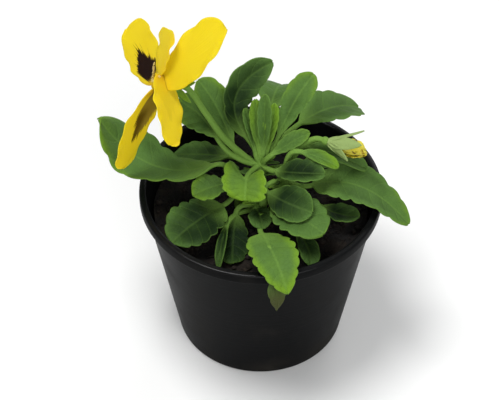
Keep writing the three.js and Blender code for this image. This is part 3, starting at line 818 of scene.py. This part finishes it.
class PANSY_OT_peat(bpy.types.Operator):
    """Fills the pot with peat, and strews crumbs and fibres on it"""
    bl_idname = "pansy.peat"
    bl_label = "Peat"

    def execute(self, context):
        settings = context.scene.pansy_peat
        level = settings.level / MM
        bottom = FOOT_HEIGHT + FLOOR + GAP
        radius = inner_radius(SOIL_TOP) - GAP
        body = Body()
        foot = inner_radius(bottom) - GAP
        profile = [(0, bottom), (foot - 1, bottom), (foot, bottom + 1), (radius - 0.2, level - 1.5)]
        profile += [(radius * k / PEAT_RINGS, level) for k in range(PEAT_RINGS, 0, -1)] + [(0, level)]
        points, faces = lathe(profile, PEAT_SIDES)
        for k, (x, y, z) in enumerate(points):
            if z >= level:
                points[k][2] = z + peat_height(x, y)
        body.add(points, faces)
        body.build("peat", peat_paint(settings, "peat", 0.0), "potting_soil", "soil")
        self.strew(context, settings, level, radius)
        return {"FINISHED"}

    def strew(self, context, settings, level, radius):
        chance = random.Random(PEAT_SEED)
        ball = bmesh.new()
        bmesh.ops.create_icosphere(ball, subdivisions=2, radius=1)
        ball_points = np.array([vertex.co for vertex in ball.verts])
        ball_faces = [[vertex.index for vertex in face.verts] for face in ball.faces]
        ball.free()
        bits = Body()
        for k in range(settings.crumbs):
            x, y = self.spot(chance, radius - CRUMB_CLEARANCE)
            size = CRUMB_RADIUS + CRUMB_SPREAD * chance.random() ** 3
            stretch = np.array([1, chance.uniform(0.6, 1), chance.uniform(0.4, 0.8)]) * size
            uneven = [noise.noise(Vector(p) * 1.7 + Vector((k, 0, 0))) for p in ball_points]
            spin = chance.uniform(0, 2 * math.pi)
            c, s = math.cos(spin), math.sin(spin)
            p = ball_points * (1 + 0.45 * np.array(uneven))[:, None] * stretch
            p = np.column_stack([p[:, 0] * c - p[:, 1] * s, p[:, 0] * s + p[:, 1] * c, p[:, 2]])
            bits.add(p + (x, y, level + peat_height(x, y) + 0.25 * size), ball_faces)
        for _ in range(settings.fibres):
            x, y = self.spot(chance, radius - FIBRE_CLEARANCE)
            way = chance.uniform(0, 2 * math.pi)
            length = chance.uniform(*FIBRE_LENGTHS)
            dx, dy = length / 2 * math.cos(way), length / 2 * math.sin(way)
            bow = chance.uniform(-0.25, 0.25)
            z = level + peat_height(x, y) + 0.5
            middle = (x - dy * bow, y + dx * bow, z + chance.uniform(0, 0.8))
            path = spline([(x - dx, y - dy, z - 0.4), middle, (x + dx, y + dy, z - 0.3)], 5)
            radii = np.linspace(*FIBRE_RADII, len(path)) * chance.uniform(0.6, 1.3)
            add_tube(bits, path, radii, sides=5)
        bits.build("peat_crumbs", peat_paint(settings, "peat_crumbs", 0.35), "potting_soil")

    def spot(self, chance, radius):
        """A place on the peat, as likely anywhere within the radius."""
        reach = radius * math.sqrt(chance.random())
        turn = chance.uniform(0, 2 * math.pi)
        return reach * math.cos(turn), reach * math.sin(turn)


# Leaves and stems

def leaf_paint(settings):
    """Green that follows a leaf's age and its painted shade, from its stalk to its tip, with midrib, side
    veins and margin, and with painted light that makes it lighter towards its tip and near its margin.
    """
    paint = Paint("leaf", Specular_IOR_Level=0.06)
    place = paint.place()
    along, across, edge, vein = paint.marks("along", "across", "edge", "vein")
    front, tint, withered = paint.marks("front", "tint", "special")
    cloud = paint.noise(place, 95, 3)
    patch = paint.noise(place, 42, 2)
    fine = paint.noise(place, 900, 3)
    cell = paint.node("TexVoronoi", {"feature": "DISTANCE_TO_EDGE"}, {
        "Vector": place, "Scale": 620.0}, "Distance")
    net = cell.step(0.12, 0.0)
    middle_rib = abs(across).step(0.75, 0.15)
    line = abs((vein + 0.5).fraction() - 0.5)
    blade = along.step(0.0, 0.12)
    side_vein = line.step(0.09, 0.015) * blade * abs(across).step(0.3, 1.2)
    margin = edge.step(0.55, 0.1) * blade
    # Painted light: the blade is painted lighter from its base to its tip and within 4 mm of its margin,
    # where light falls on it; cloud and patch add random tone
    shade = tint + (cloud - 0.5) * 0.35 + (patch - 0.5) * 0.7 + (along - 0.5) * 0.36
    shade = shade + edge.step(4.0, 0.0) * (0.1 + tint * 0.35)
    # The dark green is an old leaf's colour and also painted shade for the leaves that lie in shade
    green = paint.mix(shade.step(0.0, 0.5), settings.dark, settings.middle)
    green = paint.mix(shade.step(0.5, 1.0), green, settings.bright)
    green = paint.mix(along.step(0.35, -0.1) * 0.85, green, settings.stalk)
    green = paint.mix((middle_rib * (0.1 + tint * 0.35) + side_vein * 0.08).clamp(), green, settings.stalk)
    green = paint.mix(margin * 0.3, green, settings.stalk)
    green = paint.mix(net * 0.07, green, settings.dark)
    green = paint.mix((1 - front) * 0.35 * blade, green, settings.stalk)
    green = paint.mix(tint.step(1, 1.5), green, settings.pale)
    green = paint.mix(withered * along.step(0.0, 0.8), green, settings.withered)
    height = net * -0.35 + side_vein * -0.6 + fine * 0.5 + (1 - front) * side_vein * 1.2
    return paint.finish(
        Base_Color=green,
        Roughness=(0.4 + 0.2 * cloud + (1 - front) * 0.15 + 0.1 * fine).clamp(),
        Normal=paint.bump(height, 0.0004, 0.5),
    )


def stem_path(stem):
    x, y = stem["foot"]
    return [(x, y, STEM_FOOT), (x, y, (STEM_FOOT + SOIL_TOP) / 2), (x, y, SOIL_TOP + 2), stem["crown"]]


def add_leaf(body, row, stem, settings, seed):
    row = dict(row)
    height = row.pop("height")
    ground = np.array([*stem["foot"], SOIL_TOP], float)
    crown = np.array(stem["crown"], float)
    on_stem = ground + (crown - ground) * (height - SOIL_TOP) / (crown[2] - SOIL_TOP)
    root = np.array(row.pop("root", on_stem), float)
    outward = unit((np.array(row["tip"], float) - root) * (1, 1, 0))
    withered = row.pop("withered", 0)
    ruffle = BROAD_RUFFLE if row["half"] > BROAD_HALF_WIDTH else NARROW_RUFFLE
    add_blade(
        body, root=root, side=np.cross(outward, (0, 0, 1)), depth=settings.thickness / MM, seed=seed,
        special=withered, ruffle=ruffle, **row)


def add_stipules(body, stem, seed):
    """The small toothed straps that stand where leaf stalks join a stem."""
    chance = random.Random(seed)
    ground = np.array([*stem["foot"], SOIL_TOP], float)
    crown = np.array(stem["crown"], float)
    for k in range(STIPULES):
        at = ground + (crown - ground) * (0.35 + 0.5 * k / STIPULES)
        turn = GOLDEN_TURN * k + chance.uniform(-0.3, 0.3)
        outward = np.array([math.cos(turn), math.sin(turn), 0])
        length = chance.uniform(*STIPULE_LENGTHS)
        rise = np.array([0, 0, length])
        add_blade(
            body, root=at, start=at + outward * 1.6 + rise * 0.06,
            middle=at + outward * length * 0.42 + rise * 0.24,
            tip=at + outward * length * 0.8 + rise * chance.uniform(0.3, 0.55),
            half=chance.uniform(*STIPULE_HALF_WIDTHS), side=np.cross(outward, (0, 0, 1)), seed=k,
            tint=chance.uniform(0.1, 0.55), **STIPULE_SHAPE)


def add_sepals(body, head, centre, opening, length, half, first, tint, unequal=0):
    """The sepals round a head's calyx; where they are unequal, the topmost is the longest."""
    facing, top, near = head_frame(head["azimuth"], head["elevation"])
    for k in range(SEPALS):
        angle = first + 2 * math.pi * k / SEPALS
        reached = length * (1 - unequal * (1 - math.cos(angle)))
        outward = top * math.cos(angle) + near * math.sin(angle)
        direction = facing * math.cos(math.radians(opening)) + outward * math.sin(math.radians(opening))
        add_blade(
            body, root=centre, start=centre + direction, middle=centre + direction * reached / 2,
            tip=centre + direction * reached, half=half, side=np.cross(outward, facing), tint=tint,
            **SEPAL_SHAPE)


def add_stalk(body, head, stalk, sepals):
    """The stalk of the flower or the bud, with the calyx and the sepals on its end."""
    facing, _, _ = head_frame(head["azimuth"], head["elevation"])
    calyx = np.array(head["place"], float) - facing * head["calyx"]
    path = spline([*stalk["route"], calyx - facing * stalk["neck"], calyx], stalk["steps"])
    radii = np.linspace(*stalk["radii"], len(path))
    add_tube(body, path, radii, sides=stalk["sides"], ridges=0.06, along=-0.6, tint=stalk["tint"])
    add_ball(body, calyx, stalk["calyx_radius"], along=-0.4, tint=0.6)
    add_sepals(body, head, calyx, **sepals)


class PANSY_OT_leaves(bpy.types.Operator):
    """Grows the five leafy stems, with the stalks of the flower and the bud"""
    bl_idname = "pansy.leaves"
    bl_label = "Leafy stems"

    def execute(self, context):
        settings = context.scene.pansy_leaf
        material = leaf_paint(settings)
        for name, stem in STEMS.items():
            body = Body()
            path = spline(stem_path(stem), 6)
            radii = np.linspace(*STEM_RADII, len(path))
            add_tube(body, path, radii, sides=16, ridges=0.07, along=-0.8, tint=0.3)
            for seed, row in enumerate(LEAVES[name]):
                add_leaf(body, row, stem, settings, seed)
            add_stipules(body, stem, seed=len(name))
            if name == "main_stem":
                add_stalk(body, FLOWER, FLOWER_STALK, FLOWER_SEPALS)
            if name == "right_stem":
                add_stalk(body, BUD, BUD_STALK, BUD_SEPALS)
            body.build(name.replace("_stem", "_shoot"), material, "leaf_green", name)
        return {"FINISHED"}


# Flower and bud

def petal_paint(settings):
    """Yellow with a rayed dark blotch, which shows through on the back; paler with dry spots on the bud."""
    paint = Paint(
        "petal", Specular_IOR_Level=0.07, Subsurface_Weight=0.7, Subsurface_Scale=0.003,
        Subsurface_Radius=(1, 0.85, 0.1))
    place = paint.place()
    along, across, front, edge = paint.marks("along", "across", "front", "edge")
    blotch, show, drift = paint.marks("special", "tint", "drift")
    spread = across / (along * 30 + 3)
    ray_place = paint.node("CombineXYZ", {}, {"X": spread * 9, "Y": along * 0.8, "Z": blotch * 3})
    rays = paint.noise(ray_place, 3.2, 3, 0.6)
    fine_place = paint.node("CombineXYZ", {}, {"X": spread * 40, "Y": along * 1.5, "Z": 0.0})
    lines = paint.noise(fine_place, 1.6, 2)
    cloud = paint.noise(place, 120, 3)
    tent = 1.27 - abs(across - drift) * 0.12
    border = blotch * (tent + (rays - 0.5) * 0.8 + (lines - 0.5) * 0.25)
    margin = 1.6 + (1 - front) * show * (1.4 - across * 0.45) + (rays - 0.5) * 4
    inside = (edge - margin).step(-0.4, 0.5)
    whisker = lines.step(0.56, 0.66) * (along - border * 1.18).step(0.06, -0.02) * inside * front * 0.45
    dark = (along - border).step(0.02, -0.02) * inside
    dark = dark + (1 - dark) * whisker
    throat = along.step(0.14, 0.02)
    deepen = (cloud.step(0.45, 0.8) * 0.25 + lines.step(0.5, 0.8) * 0.2 + throat * 0.9).clamp()
    bud = show.step(1, 2)
    yellow = paint.mix(bud * 0.8, paint.mix(deepen, settings.yellow, settings.deep), settings.young)
    face = paint.mix(dark * (1 - throat * 0.8), yellow, settings.blotch)
    deepest = across.step(4, -0.5) * along.step(0.18, 0.34)
    shadow = paint.mix(deepest * 0.95, settings.show_through, settings.blotch)
    back = paint.mix(dark * show, paint.mix(0.12, yellow, settings.deep), shadow)
    dry = bud * paint.noise(place, 420, 3, 0.6).step(0.5, 0.6) * along.step(0.3, 0.5)
    height = lines * 0.6 + cloud * 0.6
    return paint.finish(
        Base_Color=paint.mix(dry * 0.9, paint.mix(front, back, face), settings.dry),
        Roughness=(0.55 + 0.2 * cloud).clamp(),
        Normal=paint.bump(height, 0.00025, 0.6),
    )


def add_petal(body, row, settings, seed):
    facing, top, near = head_frame(FLOWER["azimuth"], FLOWER["elevation"])
    row = dict(row)
    angle = math.radians(row.pop("angle"))
    lean = math.radians(row.pop("lean"))
    length, forward, bow, blotch = (row.pop(key) for key in ("length", "forward", "bow", "blotch"))
    show = row.pop("show", 0.1)
    outward = top * math.cos(angle) + near * math.sin(angle)
    start = np.array(FLOWER["place"]) + outward + facing * forward + top * row.pop("rise", 0)

    def reach(share, leaning):
        way = outward * math.cos(leaning) + facing * math.sin(leaning)
        return start + way * length * share

    add_blade(
        body, root=start, start=start, middle=reach(0.5, lean / 2) + facing * bow, tip=reach(1, lean),
        side=np.cross(outward, facing), depth=settings.thickness / MM, seed=seed, special=blotch, tint=show,
        **{**PETAL_SHAPE, **row})


def add_hair(body, chance, throat, side, facing, top, near):
    """One hair of the tuft on a side of the throat, leaning over it."""
    reach = 0.4 + 6 * chance.random() ** 1.5
    foot = throat + near * side * (0.7 + 0.5 * reach) + top * (0.9 + 0.95 * reach)
    foot = foot + facing * (1.3 + 0.1 * reach) + near * chance.uniform(-0.35, 0.35)
    way = unit(facing * chance.uniform(0.4, 1) - near * side * 0.5 + top * chance.uniform(-0.2, 0.8))
    length = chance.uniform(*HAIR_LENGTHS) * (1 - 0.08 * reach)
    path = spline([foot, foot + way * length * 0.5 + top * 0.15, foot + way * length], 3)
    add_tube(body, path, np.linspace(*HAIR_RADII, len(path)), sides=5)


def hair_paint(settings):
    paint = Paint("throat_hairs", Roughness=0.6)
    shine = paint.noise(paint.place(), 700, 2)
    return paint.finish(Base_Color=paint.mix(shine, settings.hair, settings.yellow))


class PANSY_OT_flower(bpy.types.Operator):
    """Makes the open flower: five petals, the throat with its hairs, and the spur"""
    bl_idname = "pansy.flower"
    bl_label = "Flower"

    def execute(self, context):
        settings = context.scene.pansy_flower
        facing, top, near = head_frame(FLOWER["azimuth"], FLOWER["elevation"])
        throat = np.array(FLOWER["place"], float)
        body = Body()
        for seed, row in enumerate(PETALS.values()):
            add_petal(body, row, settings, seed)
        add_ball(body, throat, THROAT_RADIUS, along=0.05, edge=5, front=1)
        spur = spline([throat - facing * SPUR_LENGTH * share for share in (0, 0.5, 1)], 5)
        add_tube(body, spur, SPUR_RADIUS, sides=16, along=0.3, edge=5)
        body.build("petals", petal_paint(settings), "petal_yellow", "bloom")
        hairs = Body()
        chance = random.Random(HAIR_SEED)
        for side in (-1, 1):
            for _ in range(HAIRS_A_SIDE):
                add_hair(hairs, chance, throat, side, facing, top, near)
        hairs.build("throat_hairs", hair_paint(settings), "petal_yellow")
        return {"FINISHED"}


class PANSY_OT_bud(bpy.types.Operator):
    """Makes the bud's furled petals round their core"""
    bl_idname = "pansy.bud"
    bl_label = "Bud"

    def execute(self, context):
        settings = context.scene.pansy_flower
        facing, top, near = head_frame(BUD["azimuth"], BUD["elevation"])
        base = np.array(BUD["place"], float) + facing * BUD_CLEARANCE
        core = spline([(r, z, 0) for r, z in BUD_CORE], 4)[:, :2]
        points, faces = lathe([(max(r, 0) * BUD_RADIUS, z * BUD_LENGTH) for r, z in core], BUD_CORE_SIDES)
        place = base + facing * points[:, 2:3] + top * points[:, 0:1] + near * points[:, 1:2]
        body = Body()
        body.add(place, faces, along=0.35, edge=5, front=1, tint=2)
        for k, reach in enumerate(BUD_PETAL_REACHES):
            angles = [2 * math.pi * k / len(BUD_PETAL_REACHES) + twist for twist in BUD_PETAL_TWIST]
            low, middle, high = (top * math.cos(angle) + near * math.sin(angle) for angle in angles)
            start = base + low * 0.4
            add_blade(
                body, root=start, start=start, side=np.cross(low, facing),
                middle=base + facing * BUD_LENGTH * 0.45 + middle * BUD_RADIUS * 0.9,
                tip=base + facing * BUD_LENGTH * reach + high * BUD_RADIUS * 0.4,
                depth=settings.thickness / MM, seed=k, tint=2, **BUD_PETAL_SHAPE)
        body.build("bud_petals", petal_paint(settings), "petal_yellow", "bud")
        return {"FINISHED"}


# Floor, light and camera

class PANSY_OT_stage(bpy.types.Operator):
    """Sets the pale floor, the soft lights and the camera"""
    bl_idname = "pansy.stage"
    bl_label = "Stage"

    def execute(self, context):
        settings = context.scene.pansy_stage
        corners = [(x * FLOOR_REACH, y * FLOOR_REACH, 0) for x, y in ((-1, -1), (1, -1), (1, 1), (-1, 1))]
        ground = bpy.data.meshes.new("floor")
        ground.from_pydata(corners, [], [(0, 1, 2, 3)])
        floor = bpy.data.objects.new("floor", ground)
        floor.location.z = -FLOOR_DROP
        context.scene.collection.objects.link(floor)
        paint = Paint("floor", Roughness=0.9, Specular_IOR_Level=0.1)
        ground.materials.append(paint.finish(Base_Color=settings.floor))

        world = bpy.data.worlds.new("studio")
        world.use_nodes = True
        studio = world.node_tree.nodes["Background"].inputs
        studio["Color"].default_value = STUDIO_COLOUR
        studio["Strength"].default_value = STUDIO_STRENGTH
        context.scene.world = world
        for name, (place, width, power) in LAMPS.items():
            self.light(context, name, place, width, power)

        camera = bpy.data.objects.new("camera", bpy.data.cameras.new("camera"))
        context.scene.collection.objects.link(camera)
        camera.location = settings.camera
        camera.rotation_euler = self.turned(settings.camera, settings.aim)
        camera.data.sensor_width = SENSOR_WIDTH
        camera.data.lens = settings.lens
        context.scene.camera = camera
        context.scene.view_settings.view_transform = "Standard"
        return {"FINISHED"}

    def light(self, context, name, place, width, power):
        data = bpy.data.lights.new(name, "AREA")
        data.shape = "DISK"
        data.size = width
        data.energy = power
        lamp = bpy.data.objects.new(name, data)
        lamp.location = place
        lamp.rotation_euler = self.turned(place, LAMP_AIM)
        context.scene.collection.objects.link(lamp)

    def turned(self, place, aim):
        """The turn of a lamp or camera that looks from its place at its aim."""
        return (Vector(aim) - Vector(place)).to_track_quat("-Z", "Y").to_euler()


# The add-on

GROUPS = {
    "pansy_pot": PotSettings,
    "pansy_peat": PeatSettings,
    "pansy_leaf": LeafSettings,
    "pansy_flower": FlowerSettings,
    "pansy_stage": StageSettings,
}
OPERATORS = (PANSY_OT_pot, PANSY_OT_peat, PANSY_OT_leaves, PANSY_OT_flower, PANSY_OT_bud, PANSY_OT_stage)


class PANSY_PT_panel(bpy.types.Panel):
    """Lists the pieces of the pansy and their settings"""
    bl_idname = "PANSY_PT_panel"
    bl_label = "Potted pansy"
    bl_space_type = "VIEW_3D"
    bl_region_type = "UI"
    bl_category = "Pansy"

    def draw(self, context):
        for operator in OPERATORS:
            self.layout.operator(operator.bl_idname)
        for name, group in GROUPS.items():
            box = self.layout.box()
            box.label(text=group.__doc__)
            for key in group.__annotations__:
                box.prop(getattr(context.scene, name), key)


def register():
    for group in GROUPS.values():
        bpy.utils.register_class(group)
    for name, group in GROUPS.items():
        setattr(bpy.types.Scene, name, PointerProperty(type=group))
    for item in (*OPERATORS, PANSY_PT_panel):
        bpy.utils.register_class(item)


def unregister():
    for item in (*OPERATORS, PANSY_PT_panel):
        bpy.utils.unregister_class(item)
    for name, group in GROUPS.items():
        delattr(bpy.types.Scene, name)
        bpy.utils.unregister_class(group)


def main():
    register()
    for piece in ("pot", "peat", "leaves", "flower", "bud", "stage"):
        getattr(bpy.ops.pansy, piece)()


if __name__ == "__main__":
    main()
